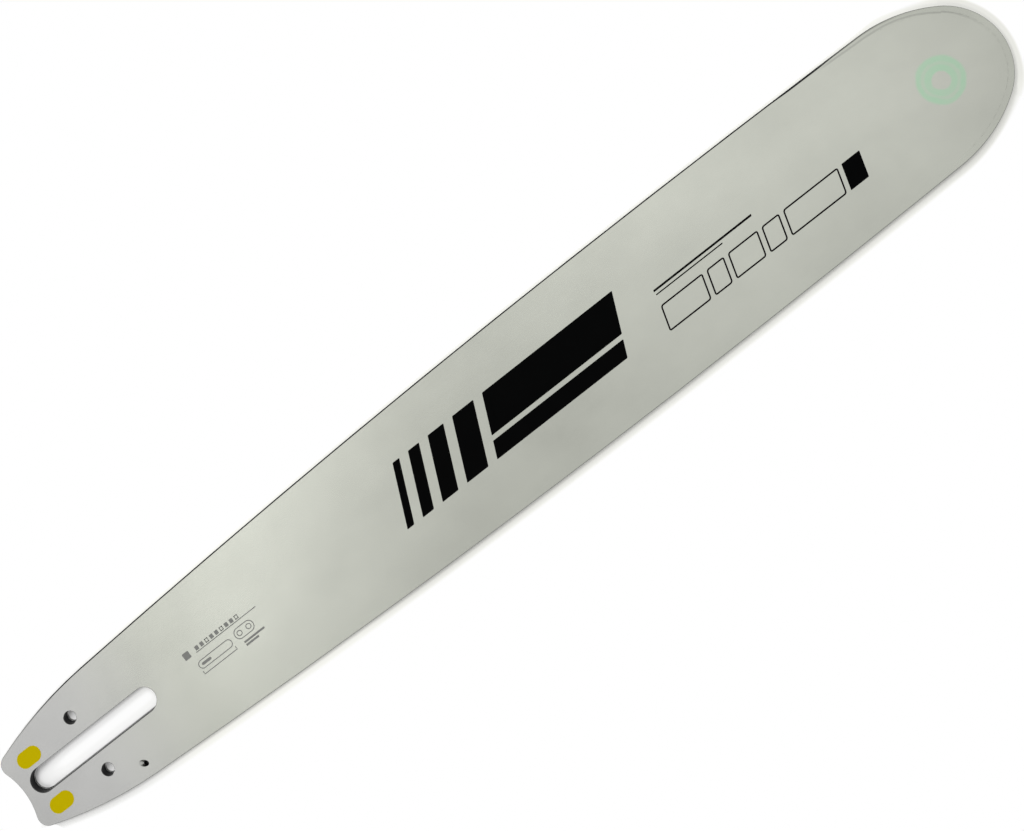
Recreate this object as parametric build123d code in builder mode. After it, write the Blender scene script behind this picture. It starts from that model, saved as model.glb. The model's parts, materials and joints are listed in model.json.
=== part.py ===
from build123d import *
import math
import os

# A solid-nose guide bar for a chainsaw, lying on its back face. The origin is the middle of the stud slot
# on that face, +X runs along the bar to the nose, and +Z points out of the front face. Lengths are in mm.

# Plate
thickness = 4.8
nose_reach = 530.5  # middle of the stud slot to the nose tip
tail_reach = 42.7  # middle of the stud slot to the bottom of the tail's hollow end
belly_width = 77.8  # at the widest place
belly_position = 316.0  # middle of the stud slot to the widest place
tail_width = 61.1  # where the tail's flanks begin to curve in
flank_position = 15.0  # middle of the stud slot to where the flanks begin
flank_radius = 213.0
scoop_radius = 36.3  # of the tail's hollow end
corner_radius = 5.6  # between the hollow end and the flanks
nose_width = 74.0  # where the nose's shoulders begin
shoulder_setback = 49.6  # nose tip back to where the shoulders begin
shoulder_radius = 66.8
edge_chamfer = 0.4

# Chain groove, which leaves a rail on each side of it
groove_width = 1.6
groove_depth = 7.5
mouth_width = 2.6  # the groove opens like a funnel at the tail
mouth_length = 14.0

# Stud slot
slot_width = 12.2
slot_pitch = 63.0  # between the centres of its round ends

# Holes for the chain tensioner's pin, one for each way up
tensioner_radius = 3.15
tensioner_setback = 2.6  # behind the middle of the stud slot
tensioner_spacing = 30.2  # across the bar

# Oil inlets, drilled aslant through one rail into the groove
inlet_radius = 1.6
inlet_position = 13.2  # ahead of the middle of the stud slot
inlet_lead = 0.2  # mouth's centre, outwards from the groove's floor
inlet_slant = 50.0  # degrees between the drill and the face's normal
inlet_heading = 40.0  # degrees between the drill and the bar's axis, seen from above

# Hard-facing of the nose, welded into the rails
hardfacing_depth = 3.0  # in from the nose's edge
hardfacing_angle = 8.0  # degrees between the weld line's straight ends and the bar's axis

middle = thickness / 2
belly_point = Vector(belly_position, belly_width / 2)
shoulder_point = Vector(nose_reach - shoulder_setback, nose_width / 2)
flank_point = Vector(flank_position, tail_width / 2)
scoop_centre = Vector(-tail_reach - scoop_radius, 0)
long_tail = scoop_centre.X + scoop_radius / 2  # the flanks are drawn on to here, past the tail

# Upper long edge, from the widest place to the nose tip and to the tail. The shoulder's arc and the nose's
# arc touch, and the nose's arc is centred on the axis, which fixes its radius.
with BuildLine() as long_edge:
    front = TangentArc(belly_point, shoulder_point, tangent=(1, 0))
    shoulder_centre = shoulder_point + (front % 1).rotate(Axis.Z, -90) * shoulder_radius
    overhang = shoulder_radius - nose_reach
    nose_centre = Vector(
        (shoulder_centre.X**2 + shoulder_centre.Y**2 - overhang**2) / (2 * (shoulder_centre.X + overhang)),
        0,
    )
    nose_radius = nose_reach - nose_centre.X
    shoulder_end = nose_centre + (nose_centre - shoulder_centre).normalized() * nose_radius
    shoulder = TangentArc(front @ 1, shoulder_end, tangent=front % 1)
    nose = TangentArc(shoulder @ 1, (nose_reach, 0), tangent=shoulder % 1)
    rear = TangentArc(belly_point, flank_point, tangent=(-1, 0))
    flank_centre = flank_point + (rear % 1).rotate(Axis.Z, 90) * flank_radius
    flank_rise = math.sqrt(flank_radius**2 - (flank_centre.X - long_tail) ** 2)
    flank = TangentArc(rear @ 1, (long_tail, flank_centre.Y + flank_rise), tangent=rear % 1)
    Line(flank @ 1, (long_tail, 0))

# Plate with its flanks drawn on past the tail
with BuildSketch() as long_plate:
    with BuildLine():
        add(long_edge.line)
        mirror(about=Plane.XZ)
    make_face()

# True outline: the tail ends in a hollow with two rounded corners
with BuildSketch() as outline:
    add(long_plate.sketch)
    with Locations(scoop_centre):
        Circle(scoop_radius, mode=Mode.SUBTRACT)
    fillet(outline.vertices().group_by(Axis.X)[0], corner_radius)

# Groove, seen from above: all round the edge but for the tail's end, where it runs out
with BuildSketch() as groove_plan:
    add(outline.sketch)
    offset(long_plate.sketch, amount=-groove_depth, mode=Mode.SUBTRACT)

# Groove, seen from the side: one gauge wide, with a funnel at the tail
with BuildPart() as groove:
    with BuildSketch():
        add(groove_plan.sketch)
    extrude(amount=thickness)
    with BuildSketch(Plane.XZ):
        with BuildLine():
            Polyline(
                (long_tail, middle + mouth_width / 2),
                (-tail_reach, middle + mouth_width / 2),
                (-tail_reach + mouth_length, middle + groove_width / 2),
                (nose_reach, middle + groove_width / 2),
                (nose_reach, middle - groove_width / 2),
                (-tail_reach + mouth_length, middle - groove_width / 2),
                (-tail_reach, middle - mouth_width / 2),
                (long_tail, middle - mouth_width / 2),
                close=True,
            )
        make_face()
    extrude(amount=belly_width, both=True, mode=Mode.INTERSECT)

# Hard-facing, seen from above: what lies outside the weld line, which follows the nose and its shoulders
# and then runs straight out to the long edges
with BuildSketch() as hardfacing_plan:
    add(outline.sketch)
    with BuildLine():
        turn = (nose_centre - shoulder_centre).get_angle(Vector(1, 0))
        CenterArc(nose_centre, nose_radius - hardfacing_depth, 0, turn)
        weld_shoulder = CenterArc(
            shoulder_centre, shoulder_radius - hardfacing_depth, turn, 90 - hardfacing_angle - turn
        )
        run_out = PolarLine(weld_shoulder @ 1, nose_reach + 2 * tail_reach, direction=weld_shoulder % 1)
        Line(run_out @ 1, ((run_out @ 1).X, 0))
        mirror(about=Plane.XZ)
    make_face(mode=Mode.SUBTRACT)

# Whole bar, before the nose is parted into steel and hard-facing
with BuildPart() as whole_bar:
    with BuildSketch():
        add(outline.sketch)
    extrude(amount=thickness)
    chamfer(whole_bar.faces().filter_by(Axis.Z).edges(), edge_chamfer)
    add(groove.part, mode=Mode.SUBTRACT)

    with BuildSketch():
        SlotCenterToCenter(slot_pitch, slot_width)
        with Locations((-tensioner_setback, 0)):
            with GridLocations(0, tensioner_spacing, 1, 2):
                Circle(tensioner_radius)
    extrude(amount=thickness, mode=Mode.SUBTRACT)

    # The bar works either way up, so each face has an inlet to the groove that is then the upper one
    inlet_offset = tail_width / 2 - groove_depth + inlet_lead
    rail = middle - groove_width / 2
    slant = math.radians(inlet_slant)
    heading = math.radians(inlet_heading)
    for up, height in ((1, thickness), (-1, 0)):
        drill = Vector(
            math.sin(slant) * math.cos(heading),
            -up * math.sin(slant) * math.sin(heading),
            -up * math.cos(slant),
        )
        with BuildSketch(Plane.XY.offset(height)):
            with Locations((inlet_position, -up * inlet_offset)):
                Ellipse(inlet_radius / math.cos(slant), inlet_radius, rotation=-up * inlet_heading)
        extrude(amount=rail / math.cos(slant), dir=drill, mode=Mode.SUBTRACT)

# Steel plate, with the nose's rails cut back to the weld line
with BuildPart() as bar_body:
    add(whole_bar.part)
    with BuildSketch():
        add(hardfacing_plan.sketch)
    extrude(amount=thickness, mode=Mode.SUBTRACT)

# Hard-facing of the front rail, ground flush with the plate
with BuildPart() as nose_hardfacing_front:
    add(whole_bar.part)
    with BuildSketch():
        add(hardfacing_plan.sketch)
    extrude(amount=thickness, mode=Mode.INTERSECT)
    split(bisect_by=Plane.XY.offset(middle), keep=Keep.TOP)

# Hard-facing of the back rail
with BuildPart() as nose_hardfacing_back:
    add(whole_bar.part)
    with BuildSketch():
        add(hardfacing_plan.sketch)
    extrude(amount=thickness, mode=Mode.INTERSECT)
    split(bisect_by=Plane.XY.offset(middle), keep=Keep.BOTTOM)

bar_body.part.label = "bar_body"
nose_hardfacing_front.part.label = "nose_hardfacing_front"
nose_hardfacing_back.part.label = "nose_hardfacing_back"

os.makedirs("parts", exist_ok=True)
export_step(bar_body.part, "parts/bar_body.step")
export_step(nose_hardfacing_front.part, "parts/nose_hardfacing_front.step")
export_step(nose_hardfacing_back.part, "parts/nose_hardfacing_back.step")
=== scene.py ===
import json
import math

import bmesh
import bpy
from mathutils import Matrix, Vector

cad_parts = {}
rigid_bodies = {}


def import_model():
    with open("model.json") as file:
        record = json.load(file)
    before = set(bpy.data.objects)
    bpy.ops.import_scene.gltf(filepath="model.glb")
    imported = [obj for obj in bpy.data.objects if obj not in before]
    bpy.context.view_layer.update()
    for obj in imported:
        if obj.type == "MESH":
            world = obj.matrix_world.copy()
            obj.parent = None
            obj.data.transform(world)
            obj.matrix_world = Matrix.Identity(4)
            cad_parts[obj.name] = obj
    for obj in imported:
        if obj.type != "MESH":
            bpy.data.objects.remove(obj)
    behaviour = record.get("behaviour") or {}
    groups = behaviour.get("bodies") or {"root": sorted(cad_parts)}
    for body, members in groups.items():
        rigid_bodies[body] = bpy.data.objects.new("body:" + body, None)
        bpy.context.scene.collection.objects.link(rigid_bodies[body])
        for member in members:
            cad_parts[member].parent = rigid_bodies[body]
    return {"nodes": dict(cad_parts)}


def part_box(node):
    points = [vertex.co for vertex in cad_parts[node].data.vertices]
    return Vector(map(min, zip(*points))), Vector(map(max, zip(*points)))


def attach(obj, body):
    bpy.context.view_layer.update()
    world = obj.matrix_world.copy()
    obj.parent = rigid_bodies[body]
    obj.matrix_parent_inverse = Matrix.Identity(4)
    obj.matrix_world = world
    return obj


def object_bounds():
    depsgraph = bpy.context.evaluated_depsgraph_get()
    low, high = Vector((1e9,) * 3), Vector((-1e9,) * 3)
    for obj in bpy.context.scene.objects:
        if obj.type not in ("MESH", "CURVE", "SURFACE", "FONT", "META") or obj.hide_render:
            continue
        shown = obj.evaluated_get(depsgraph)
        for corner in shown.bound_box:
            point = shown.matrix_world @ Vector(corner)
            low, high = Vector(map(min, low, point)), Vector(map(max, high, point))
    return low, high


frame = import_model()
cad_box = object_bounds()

# A solid-nose guide bar for a chainsaw, lying on its back face. Lengths are in metres and the frame is the
# part's own: the origin is the middle of the stud slot, +X runs to the nose and +Z out of the front face.


# Steel plate
# The bar is cut from one sheet of hardened steel, whose faces are ground to a satin finish. The cut edges,
# the groove and the walls of the slot and holes keep a dark scale. A faint green stamp marks the nose.
class Wire:
    """One output of a node. Arithmetic on it adds Math nodes to the same tree."""

    def __init__(self, tree, socket):
        self.tree = tree
        self.socket = socket

    def node(self, kind, settings, inputs, output=0):
        """Adds a node, sets its settings, then links or fills its inputs, and gives one of its outputs."""
        made = self.tree.nodes.new(kind)
        for name, value in settings.items():
            setattr(made, name, value)
        for name, value in inputs.items():
            if isinstance(value, Wire):
                self.tree.links.new(value.socket, made.inputs[name])
            else:
                made.inputs[name].default_value = value
        return Wire(self.tree, made.outputs[output]) if made.outputs else made

    def math(self, operation, first, second=0.0):
        return self.node("ShaderNodeMath", {"operation": operation}, {0: first, 1: second})

    def __add__(self, other):
        return self.math("ADD", self, other)

    def __sub__(self, other):
        return self.math("SUBTRACT", self, other)

    def __rsub__(self, other):
        return self.math("SUBTRACT", other, self)

    def __mul__(self, other):
        return self.math("MULTIPLY", self, other)

    __radd__ = __add__
    __rmul__ = __mul__


def new_finish(name):
    """A material with an empty tree, and the wire of its Object coordinates."""
    material = bpy.data.materials.new(name)
    material.use_nodes = True
    tree = material.node_tree
    tree.nodes.clear()
    return material, Wire(tree, tree.nodes.new("ShaderNodeTexCoord").outputs["Object"])


def axes_of(place):
    return [place.node("ShaderNodeSeparateXYZ", {}, {0: place}, axis) for axis in range(3)]


def rise(value, low, high):
    """0 below low, 1 above high, and a smooth step between them."""
    limits = {"Value": value, "From Min": low, "From Max": high}
    return value.node("ShaderNodeMapRange", {"interpolation_type": "SMOOTHSTEP"}, limits)


def fall(value, low, high):
    """1 below low, 0 above high, and a smooth step between them."""
    return 1 - rise(value, low, high)


def band(value, start, full, fade, end):
    """1 from full to fade, 0 outside start and end, and smooth steps between them."""
    return rise(value, start, full) * fall(value, fade, end)


def blend_colour(factor, first, second):
    return factor.node("ShaderNodeMix", {"data_type": "RGBA"}, {0: factor, 6: first, 7: second}, 2)


def noise(place, stretch, detail):
    """Cloudy noise from 0 to 1 whose grain is 1 / stretch metres along each axis."""
    scaled = place.node("ShaderNodeVectorMath", {"operation": "MULTIPLY"}, {0: place, 1: stretch})
    return place.node("ShaderNodeTexNoise", {}, {"Vector": scaled, "Scale": 1.0, "Detail": detail})


def bumps(place, strength, depth, height):
    return place.node("ShaderNodeBump", {}, {"Strength": strength, "Distance": depth, "Height": height})


def finish_surface(material, place, inputs):
    shader = place.node("ShaderNodeBsdfPrincipled", {}, inputs)
    place.node("ShaderNodeOutputMaterial", {}, {"Surface": shader})
    return material


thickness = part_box("bar_body")[1].z
chamfer = 0.0004
groove_half = 0.0008
belly_place = 0.3160
belly_half = 0.0389
rear_bend = 5.429  # radii of the long edges behind and ahead of the belly
front_bend = 7.157
flank_place = 0.0150
flank_radius = 0.2130
scoop_centre = -0.0790
scoop_radius = 0.0363
shoulder_place = 0.4809
shoulder_centre = (0.47856, -0.02979)
shoulder_radius = 0.0668
nose_centre = 0.49991
nose_radius = 0.03059
slot_half = 0.0315  # middle of the stud slot to the centre of each round end
slot_radius = 0.0061
hole_place = -0.0026
hole_offset = 0.0151
hole_radius = 0.00315
inlet_place = (0.0132, 0.0232)
inlet_limits = (0.0045, 0.0050)  # from the inlet's middle, where its bright mouth ends
groove_limits = (groove_half, groove_half + 0.00005)  # from the plate's middle, where the dark groove ends
bored_run = (-0.0392, -0.0387, 0.0500, 0.0550)  # a run is a range along X; this one holds slot and holes
bored_side = (0.0187, 0.0192)  # a side is a range across the bar, from its axis
steel_tail = (0.419, 0.419, 0.410, 1)
steel_nose = (0.394, 0.404, 0.360, 1)
tail_tone_run = (-0.020, 0.060)
rail_colour = (0.150, 0.150, 0.146, 1)
# Dark scale of the walls, also used for the painted shade on the front rims
scale_and_shade_colour = (0.014, 0.014, 0.015, 1)
weld_colour = (0.205, 0.210, 0.190, 1)
weld_run = (0.4560, 0.4660, 0.5170, 0.5305)
weld_side = (0.0, 0.008)
weld_inset = 0.0017  # how far inside the edge the weld line begins
# What the weld line's inset gains along the nose, and from where to where
weld_gains = ((0.0005, 0.462, 0.480), (-0.0003, 0.486, 0.496), (0.0022, 0.503, 0.535))
weld_waver = 0.0004
weld_width = (0.0002, 0.0007)
wall_shade_run = (-0.045, 0.010, 0.450, 0.515)  # where painted shade darkens the rim of the upper long edge
wall_shade_side = (0.0, 0.010)
wall_shade_inset = (chamfer + 0.00015, chamfer + 0.00035)
# Where the painted rim shade is widened and by how much, and its width round the slot and holes
thick_shade_run = (0.430, 0.444, 0.457, 0.468)
thick_shade = 0.0003
rim_shade_width = 0.0002
steel_roughness = 0.235
grain_strength = 0.025
grain_depth = 0.0002
stamp_centre = (0.4971, -0.0013)
stamp_outer = 0.0112
stamp_gap = 0.0080
stamp_inner = 0.0042
outer_blur = 0.0008
gap_limits = (0.0002, 0.0014)
inner_blur = 0.0006
stamp_waver = 0.0022
stamp_colour = (0.312, 0.455, 0.331, 1)


def distance_from(place, centre_x, centre_y, x, y):
    along = x - centre_x
    across = y - centre_y
    return place.math("SQRT", along * along + across * across)


def edge_inset(place, x, side):
    """How far inside the bar's outline a point lies, side being its distance from the bar's axis."""
    run = x - belly_place
    ahead = place.math("GREATER_THAN", run, 0.0)
    bend = 0.5 / rear_bend + ahead * (0.5 / front_bend - 0.5 / rear_bend)
    flank = place.math("MINIMUM", x - flank_place, 0.0)
    inset = belly_half - run * run * bend - flank * flank * (0.5 / flank_radius) - side
    inset = place.math("MINIMUM", inset, distance_from(place, scoop_centre, 0.0, x, side) - scoop_radius)
    in_shoulder = shoulder_radius - distance_from(place, shoulder_centre[0], shoulder_centre[1], x, side)
    in_nose = nose_radius - distance_from(place, nose_centre, 0.0, x, side)
    turn = math.atan2(-shoulder_centre[1], nose_centre - shoulder_centre[0])
    by_nose = place.math("LESS_THAN", place.math("ARCTAN2", side, x - nose_centre), turn)
    rounded = in_shoulder + by_nose * (in_nose - in_shoulder)
    return inset + place.math("GREATER_THAN", x, shoulder_place) * (rounded - inset)


def openings(place, x, y):
    """For the slot and both holes, the distance outwards from the rim, and 1 on its tail side and below."""
    beyond = place.math("MAXIMUM", place.math("ABSOLUTE", x) - slot_half, 0.0)
    rims = [(place.math("SIGN", x) * beyond, y, slot_radius)]
    for offset in (hole_offset, -hole_offset):
        rims.append((x - hole_place, y - offset, hole_radius))
    found = []
    for along, across, radius in rims:
        gap = place.math("SQRT", along * along + across * across) - radius
        low_side = rise(along * (-0.85 / radius) + across * (-0.50 / radius), 0.2, 0.6)
        found.append((gap, low_side))
    return found


def ground_steel(place, tone):
    """Colour, roughness and grain height of the ground faces and of the walls between them."""
    x, y, z = axes_of(place)
    side = place.math("ABSOLUTE", y)
    cloud = noise(place, (18, 26, 26), 4)
    grain = noise(place, (60, 2600, 300), 3)
    fleck = noise(place, (900, 900, 900), 2)
    blotch = noise(place, (70, 80, 80), 4)
    face = blend_colour(rise(x, *tail_tone_run), steel_tail, steel_nose)
    shade = tone * (0.83 + 0.23 * cloud + 0.07 * blotch + 0.02 * grain + 0.02 * fleck)
    face = place.node(
        "ShaderNodeMix", {"data_type": "RGBA", "blend_type": "MULTIPLY"}, {0: 1.0, 6: face, 7: shade}, 2
    )

    # The line where the alloy was fused to the steel, which grinding has wiped out below the nose
    inset = edge_inset(place, x, side)
    past_weld = inset - weld_inset + weld_waver * (fleck - 0.5)
    for gain, start, end in weld_gains:
        past_weld = past_weld - gain * rise(x, start, end)
    shown = band(x, *weld_run) * rise(y, *weld_side)
    line = 0.37 * fall(place.math("ABSOLUTE", past_weld), *weld_width)
    alloy_side = 0.10 * fall(past_weld, -0.0002, 0.0002)
    face = blend_colour(shown * (line + alloy_side), face, weld_colour)

    # Walls: the rails' outer edges are dull, and the groove, the slot and the holes are dark with scale
    depth = place.math("MINIMUM", z, thickness - z)
    from_inlet = distance_from(place, inlet_place[0], inlet_place[1], x, side)
    near_inlet = fall(from_inlet, *inlet_limits)
    grooved = fall(place.math("ABSOLUTE", z - thickness / 2), *groove_limits)
    bored = band(x, *bored_run) * fall(side, *bored_side)
    wall = blend_colour(place.math("MAXIMUM", grooved, bored), rail_colour, scale_and_shade_colour)
    walls = rise(depth, 0.0, chamfer) * (1 - near_inlet * (1 - grooved))

    # Painted shade, in the scale colour, on the front rims of the upper long edge, the slot and the holes
    upper = rise(y, *wall_shade_side) * band(x, *wall_shade_run)
    painted_shade = upper * fall(inset - thick_shade * band(x, *thick_shade_run), *wall_shade_inset)
    for gap, low_side in openings(place, x, y):
        rim_shade = fall(gap - rim_shade_width * low_side, 0.0, rim_shade_width)
        painted_shade = place.math("MAXIMUM", painted_shade, 0.9 * rim_shade)
    painted_shade = painted_shade * rise(z, thickness - 1.5 * chamfer, thickness - chamfer)
    colour = blend_colour(walls, face, wall)
    # Lays the painted rim shade over the face
    colour = blend_colour(painted_shade, colour, scale_and_shade_colour)
    rough = steel_roughness + 0.03 * cloud + 0.02 * grain + 0.20 * place.math("MAXIMUM", walls, painted_shade)
    return colour, rough, 0.85 * grain + 0.15 * fleck


def steel_plate_finish():
    material, place = new_finish("ground_steel_plate")
    x, y, z = axes_of(place)
    colour, rough, height = ground_steel(place, 1.0)
    blot = noise(place, (130, 130, 130), 3)
    ragged = distance_from(place, stamp_centre[0], stamp_centre[1], x, y) + stamp_waver * (blot - 0.5)
    ring = rise(ragged, stamp_inner - inner_blur, stamp_inner + inner_blur)
    ring = ring * fall(ragged, stamp_outer - outer_blur, stamp_outer + outer_blur)
    off_gap = rise(place.math("ABSOLUTE", ragged - stamp_gap), *gap_limits)
    ink = ring * (0.52 + 0.32 * off_gap + 0.60 * (blot - 0.5))
    colour = blend_colour(ink * rise(z, thickness / 2, thickness), colour, stamp_colour)
    bump = bumps(place, grain_strength, grain_depth, height)
    return finish_surface(
        material,
        place,
        {"Base Color": colour, "Metallic": 1.0, "Roughness": rough, "Normal": bump},
    )


plate = frame["nodes"]["bar_body"]
plate.data.materials.clear()
plate.data.materials.append(steel_plate_finish())


# Hard-facing of the nose
# A crescent of wear-proof alloy is welded into each rail at the nose and ground flush with the plate, in the
# same pass. The alloy is a trace darker than the steel and takes a slightly duller polish.
alloy_tone = 0.995
alloy_dulling = 0.01


def hardfacing_finish():
    material, place = new_finish("ground_weld_alloy")
    colour, rough, height = ground_steel(place, alloy_tone)
    bump = bumps(place, grain_strength, grain_depth, height)
    return finish_surface(
        material,
        place,
        {"Base Color": colour, "Metallic": 1.0, "Roughness": rough + alloy_dulling, "Normal": bump},
    )


alloy = hardfacing_finish()
for name in ("nose_hardfacing_front", "nose_hardfacing_back"):
    crescent = frame["nodes"][name]
    crescent.data.materials.clear()
    crescent.data.materials.append(alloy)


# Paint marks
# Two dabs of yellow paint beside the tail end of the stud slot, laid through a stencil with round ends. The
# paint is thin and satin, and its film is a little uneven.
paint_film = 0.00005
mark_length = 0.0130
mark_width = 0.0082
mark_centres = {"paint_mark_upper": (-0.0305, 0.0123), "paint_mark_lower": (-0.0304, -0.0139)}
paint_colour = (0.480, 0.382, 0.0005, 1)
thin_paint_colour = (0.525, 0.424, 0.001, 1)
film_gloss = 0.008
same_place = 1e-6


def begin_print(name):
    """Starts an empty piece in edit mode, to which flat shapes are then added."""
    bpy.ops.object.select_all(action="DESELECT")
    bpy.ops.object.add(type="MESH", enter_editmode=True)
    bpy.context.object.name = name
    bpy.ops.mesh.select_mode(type="VERT")


def narrow_selection(keep):
    """Of the selected vertices, only those stay selected whose place passes the test."""
    mesh = bmesh.from_edit_mesh(bpy.context.object.data)
    for vertex in mesh.verts:
        vertex.select_set(vertex.select and keep(vertex.co))
    mesh.select_flush_mode()
    bmesh.update_edit_mesh(bpy.context.object.data)


def add_stadium(centre, length, width):
    """A flat shape with round ends, long along X."""
    stretch = (length - width) / 2
    bpy.ops.mesh.select_all(action="DESELECT")
    bpy.ops.mesh.primitive_circle_add(
        vertices=48, radius=width / 2, fill_type="NGON", location=(centre[0], centre[1], thickness)
    )
    narrow_selection(lambda point: point.x > centre[0] + same_place)
    bpy.ops.transform.translate(value=(stretch, 0, 0))
    bpy.ops.mesh.select_linked()
    narrow_selection(lambda point: point.x < centre[0] - same_place)
    bpy.ops.transform.translate(value=(-stretch, 0, 0))
    bpy.ops.mesh.select_linked()


def end_print(film, material):
    """Raises the flat shapes to a film, rounds its rim and lets the piece ride on the bar."""
    bpy.ops.mesh.select_all(action="SELECT")
    bpy.ops.mesh.extrude_region_move(TRANSFORM_OT_translate={"value": (0, 0, film)})
    bpy.ops.mesh.region_to_loop()
    bpy.ops.mesh.bevel(offset=film * 0.6, segments=2, affect="EDGES")
    bpy.ops.mesh.select_all(action="SELECT")
    bpy.ops.mesh.normals_make_consistent(inside=False)
    bpy.ops.object.mode_set(mode="OBJECT")
    piece = bpy.context.object
    piece.data.materials.append(material)
    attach(piece, "root")


def paint_finish():
    material, place = new_finish("yellow_stencil_paint")
    cloud = noise(place, (350, 350, 350), 3)
    pinhole = noise(place, (2500, 2500, 2500), 1)
    colour = blend_colour(0.5 * cloud, paint_colour, thin_paint_colour)
    bump = bumps(place, 0.15, 0.0001, pinhole)
    rough = 0.42 + 0.12 * cloud
    return finish_surface(
        material,
        place,
        {"Base Color": colour, "Roughness": rough, "Specular IOR Level": film_gloss, "Normal": bump},
    )


yellow_paint = paint_finish()
for name, centre in mark_centres.items():
    begin_print(name)
    add_stadium(centre, mark_length, mark_width)
    end_print(paint_film, yellow_paint)


# Large print
# A plain pattern of slanted bars, screen-printed in black ink across the widest part of the bar: four bars
# that grow towards the nose and a long one with a bare line through it. The ink is matt and covers well.
ink_film = 0.00003
large_left = 0.181
large_bottom = -0.0130
large_height = 0.0285
large_slant = 0.47
large_gap = 0.0052
large_bars = (0.0040, 0.0065, 0.0093, 0.0125)
long_bar = 0.0760
bare_line = 0.0022
lower_share = 0.28  # of the long bar's height, below the bare line
large_corner = 0.0004
ink_colour = (0.0010, 0.0011, 0.0011, 1)
thin_ink_colour = (0.0024, 0.0024, 0.0024, 1)


def add_slanted_bar(left, bottom, length, height, slant, corner):
    """A flat bar whose ends lean towards the nose, with slightly rounded corners."""
    middle_height = bottom + height / 2
    bpy.ops.mesh.select_all(action="DESELECT")
    bpy.ops.mesh.primitive_plane_add(size=1, location=(left + length / 2, middle_height, thickness))
    bpy.ops.transform.resize(value=(length, height, 1))
    narrow_selection(lambda point: point.y > middle_height)
    bpy.ops.transform.translate(value=(slant * height, 0, 0))
    bpy.ops.mesh.select_linked()
    bpy.ops.mesh.bevel(offset=corner, segments=3, affect="VERTICES")
    bpy.ops.mesh.select_linked()


def ink_finish():
    material, place = new_finish("black_screen_ink")
    cloud = noise(place, (120, 120, 120), 3)
    weave = noise(place, (3000, 3000, 3000), 1)
    colour = blend_colour(0.6 * cloud, ink_colour, thin_ink_colour)
    bump = bumps(place, 0.1, 0.0001, weave)
    rough = 0.46 + 0.12 * cloud
    return finish_surface(
        material,
        place,
        {"Base Color": colour, "Roughness": rough, "Specular IOR Level": film_gloss, "Normal": bump},
    )


black_ink = ink_finish()
begin_print("large_print")
edge = large_left
for length in large_bars:
    add_slanted_bar(edge, large_bottom, length, large_height, large_slant, large_corner)
    edge = edge + length + large_gap
lower_height = large_height * lower_share
upper_bottom = large_bottom + lower_height + bare_line
upper_left = edge + large_slant * (lower_height + bare_line)
upper_height = large_height - lower_height - bare_line
add_slanted_bar(edge, large_bottom, long_bar, lower_height, large_slant, large_corner)
add_slanted_bar(upper_left, upper_bottom, long_bar, upper_height, large_slant, large_corner)
end_print(ink_film, black_ink)


# Small print
# A row of outlined slanted cells and one filled block, below the axis towards the nose, with a thin double
# rule above it. It is printed in the same pass and ink as the large pattern.
row_left = 0.3326
row_bottom = -0.0155
row_height = 0.0120
row_slant = 0.33
row_gap = 0.0022
row_cells = (0.0240, 0.0100, 0.0170, 0.0100, 0.0310)
row_line = 0.00075
row_corner = 0.0012
block_length = 0.0100
block_corner = 0.0003
rule_left = 0.3380
rules = ((0.0030, 0.0560, 0.0010), (0.0012, 0.0380, 0.0006))  # bottom, length and height of each rule
rule_corner = 0.0001


def outline_only(line):
    """Leaves only the rim of the flat shape that was added last."""
    bpy.ops.mesh.inset(thickness=line)
    bpy.ops.mesh.delete(type="FACE")


begin_print("small_print")
edge = row_left
for length in row_cells:
    add_slanted_bar(edge, row_bottom, length, row_height, row_slant, row_corner)
    outline_only(row_line)
    edge = edge + length + row_gap
add_slanted_bar(edge, row_bottom, block_length, row_height, row_slant, block_corner)
for bottom, length, height in rules:
    add_slanted_bar(rule_left, bottom, length, height, row_slant, rule_corner)
end_print(ink_film, black_ink)


# Etched panel
# A fine drawing near the stud slot, burnt grey into the steel: a scale of filled and open cells on a line,
# the outline of a bar with its slot and length line, a link with two rivets, two short rules, and a square.
etch_film = 0.00001
etch_line = 0.00045
etch_corner = 0.00005
etch_colour = (0.135, 0.137, 0.128, 1)
pale_etch_colour = (0.200, 0.203, 0.190, 1)
square_left = 0.0590
square_side = 0.0036
square_corner = 0.0004
scale_left = 0.0655
scale_bottom = 0.0022
scale_length = 0.0360
scale_margin = 0.0006
cell_count = 9
cell_pitch = 0.0030
cell_length = 0.0019
cell_height = 0.0021
symbol_centre = (0.0725, -0.0036)
symbol_length = 0.0200
symbol_width = 0.0044
symbol_slot = (0.0046, 0.0056, 0.0014)  # its middle from the outline's end, its length and its width
length_line_drop = 0.0046
tick_drop = 0.0040
tick_height = 0.0012
link_centre = (0.0905, -0.0028)
link_length = 0.0112
link_width = 0.0058
rivet_length = 0.0030
rivet_width = 0.0028
short_rule_left = 0.0870
short_rules = ((-0.0082, 0.0120), (-0.0098, 0.0075))  # bottom and length of each rule
short_rule_height = 0.0010


def etch_finish():
    material, place = new_finish("grey_etching")
    cloud = noise(place, (900, 900, 900), 2)
    colour = blend_colour(cloud, etch_colour, pale_etch_colour)
    return finish_surface(
        material, place, {"Base Color": colour, "Metallic": 0.4, "Roughness": 0.55 + 0.15 * cloud}
    )


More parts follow.
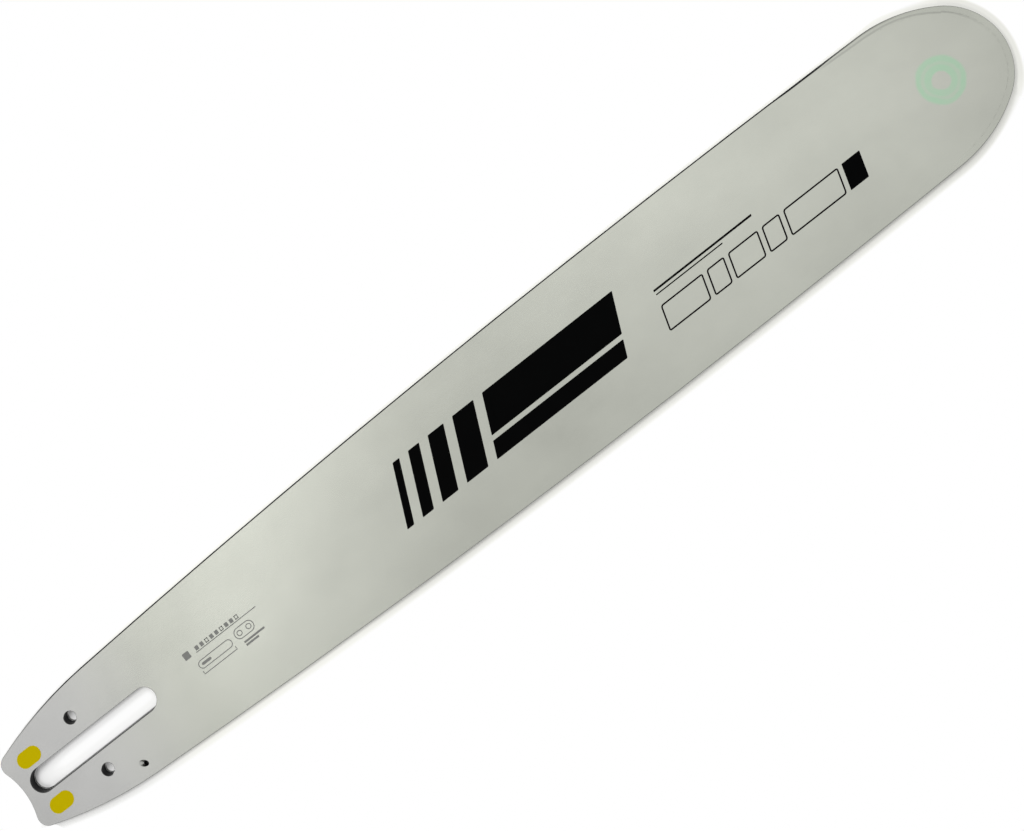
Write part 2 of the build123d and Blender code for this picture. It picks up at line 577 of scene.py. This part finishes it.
begin_print("etched_panel")
add_slanted_bar(square_left, scale_bottom, square_side, square_side, 0, square_corner)
add_slanted_bar(scale_left, scale_bottom, scale_length, etch_line, 0, etch_corner)
for cell in range(cell_count):
    cell_left = scale_left + scale_margin + cell * cell_pitch
    add_slanted_bar(cell_left, scale_bottom + 2 * etch_line, cell_length, cell_height, 0, etch_corner)
    if cell % 3 == 2:
        outline_only(etch_line)
symbol_left = symbol_centre[0] - symbol_length / 2
add_stadium(symbol_centre, symbol_length, symbol_width)
outline_only(etch_line)
add_stadium((symbol_left + symbol_slot[0], symbol_centre[1]), symbol_slot[1], symbol_slot[2])
length_line = symbol_centre[1] - length_line_drop
add_slanted_bar(symbol_left, length_line, symbol_length, etch_line, 0, etch_corner)
for end in (symbol_left, symbol_left + symbol_length - etch_line):
    add_slanted_bar(end, symbol_centre[1] - tick_drop, etch_line, tick_height, 0, etch_corner)
add_stadium(link_centre, link_length, link_width)
outline_only(etch_line)
for side in (-1, 1):
    rivet = (link_centre[0] + side * (link_length - link_width) / 2, link_centre[1])
    add_stadium(rivet, rivet_length, rivet_width)
    outline_only(etch_line)
for bottom, length in short_rules:
    add_slanted_bar(short_rule_left, bottom, length, short_rule_height, 0, etch_corner)
end_print(etch_film, etch_finish())


# Floor
# A plain white table. To the camera and in reflections it glows, fully so a few millimetres away from the
# bar, so that it stays white. Close to the bar, and under its openings, it is lit and keeps the shadow.
floor_size = 12.0
table_colour = (0.940, 0.940, 0.940, 1)
warm_table = (0.940, 0.943, 0.900, 1)
warm_glow = (1.0, 1.0, 0.945, 1)
shadow_colour = (0.04, 0.04, 0.04, 1)
white_glow = (1, 1, 1, 1)
floor_drop = 0.0002  # keeps the floor clear of the bar's back face
bright_side = 2.5  # how much faster the glow rises along the upper long edge and behind the tail
lower_side = (-0.010, 0.010)
nose_turn = 0.020  # how far the shaded side's limit moves down round the nose
nose_turn_run = (0.480, 0.510)
low_nose_run = (0.445, 0.495)
nose_shade_run = (0.475, 0.495)
tail_run = (-0.044, -0.040)
nose_halo = 0.19
flank_halo = 0.07
halo_run = (0.470, 0.515)
flank_side = (0.020, 0.032)
tip_run = (0.500, 0.525)
halo_limits = (0.0024, 0.0040)  # limits are distances from the bar's wall
wall_foot_limits = (0.0003, 0.0006)
slot_end_limits = (0.0009, 0.0030)
slot_end_run = (-0.0345, -0.0315)
slot_tone_run = (-0.0376, -0.0200)
slot_glow_run = (-0.036, -0.014)
pale_run = (-0.025, 0.045, 0.120, 0.180)  # where the strip beside the lower long edge is palest
glow_at_bar = 0.08
glow_in_strip = 0.38
glow_in_slot = 0.45
strip_limits = (0.0005, 0.0021)  # where the glow rises in the strip beside the bar, and then fully
full_limits = (0.0033, 0.0051)
warm_run = (0.0, 0.050)


def seen_directly(wire):
    """1 on rays from the camera, from a reflection or through glass, and 0 on rays that carry light."""
    rays = ("Is Camera Ray", "Is Glossy Ray", "Is Transmission Ray")
    camera_ray, glossy_ray, clear_ray = [wire.node("ShaderNodeLightPath", {}, {}, ray) for ray in rays]
    return camera_ray + glossy_ray + clear_ray


bpy.ops.object.select_all(action="DESELECT")
bpy.ops.mesh.primitive_plane_add(size=floor_size, location=(0, 0, -floor_drop))
floor = bpy.context.object
floor.name = "floor"
bpy.ops.object.transform_apply(location=True, rotation=True, scale=True)
table, place = new_finish("white_table")
x, y = axes_of(place)[:2]
below_axis = y * -1.0
lower = rise(below_axis - nose_turn * rise(x, *nose_turn_run), *lower_side)
low_nose = lower * rise(x, *low_nose_run)
shaded = place.math("MAXIMUM", lower, 0.8 * rise(x, *nose_shade_run)) * rise(x, *tail_run)
outside = edge_inset(place, x, place.math("ABSOLUTE", y)) * -1.0
rims = openings(place, x, y)
into_slot = rims[0][0] * -1.0
in_slot = place.math("GREATER_THAN", into_slot, 0.0)

# Contact shade: a pale halo round the nose, the walls' feet in the openings, and the slot's tail end
halo_edge = outside - 0.0016 * rise(x, *tip_run) - 0.0009 * low_nose
halo = nose_halo - (nose_halo - flank_halo) * rise(below_axis, *flank_side)
contact = halo * rise(x + 0.6 * below_axis, *halo_run) * fall(halo_edge, *halo_limits)
for gap, low_side in rims:
    hidden = place.math("LESS_THAN", gap, 0.0) * fall(gap * -1.0, *wall_foot_limits)
    contact = contact + low_side * hidden
end_shade = 0.20 * fall(into_slot, *slot_end_limits) * fall(x, *slot_end_run)
end_shade = end_shade + 0.11 * fall(x, *slot_tone_run)
contact = place.math("MAXIMUM", contact, in_slot * end_shade)

# Glow: it grows with the distance from the bar, first over a strip beside it and then to full white
clear = outside * (1 + bright_side - bright_side * shaded)
clear_in_slot = 0.0002 + into_slot * (0.36 + 0.64 * rise(x, *slot_glow_run))
clear = place.math("MAXIMUM", clear, clear_in_slot)
paler = band(x, *pale_run) * (1 - in_slot)
nearest = glow_at_bar + 0.10 * paler
ramp = place.math("MAXIMUM", glow_in_strip + 0.17 * paler, glow_in_slot * in_slot)
limits = {"Value": clear, "From Min": strip_limits[0], "From Max": strip_limits[1]}
steady = place.node("ShaderNodeMapRange", {}, limits)
sudden = rise(clear, *full_limits) * (1 - 0.25 * in_slot)
glow = nearest + ramp * steady + (1 - nearest - ramp) * sudden
warm = (0.3 + 0.7 * rise(x, *warm_run)) * (1 - 0.6 * in_slot)
near_bar = place.math("MAXIMUM", 1 - sudden, rise(contact, 0.0, 0.15))

# The table's own shades and glows, and how they share each place
plain = place.node("ShaderNodeBsdfDiffuse", {}, {"Color": table_colour})
warmed = place.node("ShaderNodeBsdfDiffuse", {}, {"Color": warm_table})
dark = place.node("ShaderNodeBsdfDiffuse", {}, {"Color": shadow_colour})
white = place.node("ShaderNodeEmission", {}, {"Color": white_glow, "Strength": 1.0})
cream = place.node("ShaderNodeEmission", {}, {"Color": warm_glow, "Strength": 1.0})
lit = place.node("ShaderNodeMixShader", {}, {0: warm, 1: plain, 2: warmed})
glowing = place.node("ShaderNodeMixShader", {}, {0: warm * near_bar, 1: white, 2: cream})
mixed = place.node("ShaderNodeMixShader", {}, {0: seen_directly(place) * glow, 1: lit, 2: glowing})
mixed = place.node("ShaderNodeMixShader", {}, {0: contact, 1: mixed, 2: dark})
place.node("ShaderNodeOutputMaterial", {}, {"Surface": mixed})
floor.data.materials.append(table)


# Light
# A pale room that is brightest overhead. To the camera and in reflections it is plain white. A key panel on
# the side of the upper long edge gives the shadow, and strips and a weak fill give soft highlights.
room_white = (1, 1, 1, 1)
level_below = 0.12
level_overhead = 0.60

room = bpy.data.worlds.new("pale_room")
bpy.context.scene.world = room
room.use_nodes = True
room.node_tree.nodes.clear()
sky = Wire(room.node_tree, room.node_tree.nodes.new("ShaderNodeTexCoord").outputs["Generated"])
height = rise(axes_of(sky)[2], -0.1, 1.0)
below = sky.node("ShaderNodeBackground", {}, {"Color": room_white, "Strength": level_below})
overhead = sky.node("ShaderNodeBackground", {}, {"Color": room_white, "Strength": level_overhead})
white = sky.node("ShaderNodeBackground", {}, {"Color": room_white, "Strength": 1.0})
soft = sky.node("ShaderNodeMixShader", {}, {0: height, 1: below, 2: overhead})
blended = sky.node("ShaderNodeMixShader", {}, {0: seen_directly(sky), 1: soft, 2: white})
sky.node("ShaderNodeOutputWorld", {}, {"Surface": blended})


def panel(name, place, aim, width, length, power, lean=0.0):
    """A rectangular lamp, with its length across the bar and its far end leaning towards the nose."""
    beam = (Vector(aim) - Vector(place)).normalized()
    along_bar = beam.cross(Vector((0, 1, 0))).normalized()
    across_bar = along_bar.cross(beam)
    bpy.ops.object.light_add(type="AREA")
    lamp = bpy.context.object
    lamp.name = name
    lamp.data.shape = "RECTANGLE"
    lamp.data.size = width
    lamp.data.size_y = length
    lamp.data.energy = power
    turned = Matrix((along_bar, across_bar, -beam)).transposed().to_4x4()
    lamp.matrix_world = Matrix.Translation(place) @ turned @ Matrix.Rotation(-lean, 4, "Z")


middle = (cad_box[0] + cad_box[1]) / 2
tail_aim = (0.316, 0.02, 0)
tail_lean = math.radians(15)
panel("end_strip", (-0.705, 0.554, 1.400), (0.00, 0.02, 0), width=0.326, length=1.603, power=0.51)
panel("tail_strip", (-0.160, 0.728, 1.400), tail_aim, width=0.196, length=2.124, power=2.20, lean=tail_lean)
panel("upper_fill", (-0.180, 0.190, 1.400), (0.16, 0.06, 0), width=0.120, length=0.250, power=0.08)
panel("nose_strip", (0.631, 0.805, 1.400), (0.30, 0.02, 0), width=0.854, length=2.354, power=2.82)
panel("key_panel", (0.150, 0.800, 1.350), middle, width=0.800, length=0.800, power=12.5)


# Camera
# It stands about 0.6 m above the table. The picture is the lower right part of a wider view, so the optical
# axis lies above and left of its middle.
photo_width = 1024
sensor_width = 36
focal_pixels = 1300
axis_offset = (-60, -150)  # pixels from the picture's middle to the optical axis, right and down
camera_place = Vector((0.31339, 0.02511, 0.60433))
camera_aim = Vector((0.27307, 0.07020, 0.0048))
picture_up = math.radians(51.68)  # heading of the picture's upward direction, from +X towards +Y

forward = (camera_aim - camera_place).normalized()
right = forward.cross(Vector((math.cos(picture_up), math.sin(picture_up), 0))).normalized()
up = right.cross(forward)
bpy.ops.object.camera_add()
camera = bpy.context.object
turned = Matrix((right, up, -forward)).transposed().to_4x4()
camera.matrix_world = Matrix.Translation(camera_place) @ turned
camera.data.sensor_width = sensor_width
camera.data.lens = focal_pixels / photo_width * sensor_width
camera.data.shift_x = -axis_offset[0] / photo_width
camera.data.shift_y = axis_offset[1] / photo_width
camera.data.clip_start = 0.01
camera.data.clip_end = 50
bpy.context.scene.camera = camera
bpy.context.scene.view_settings.view_transform = "Standard"
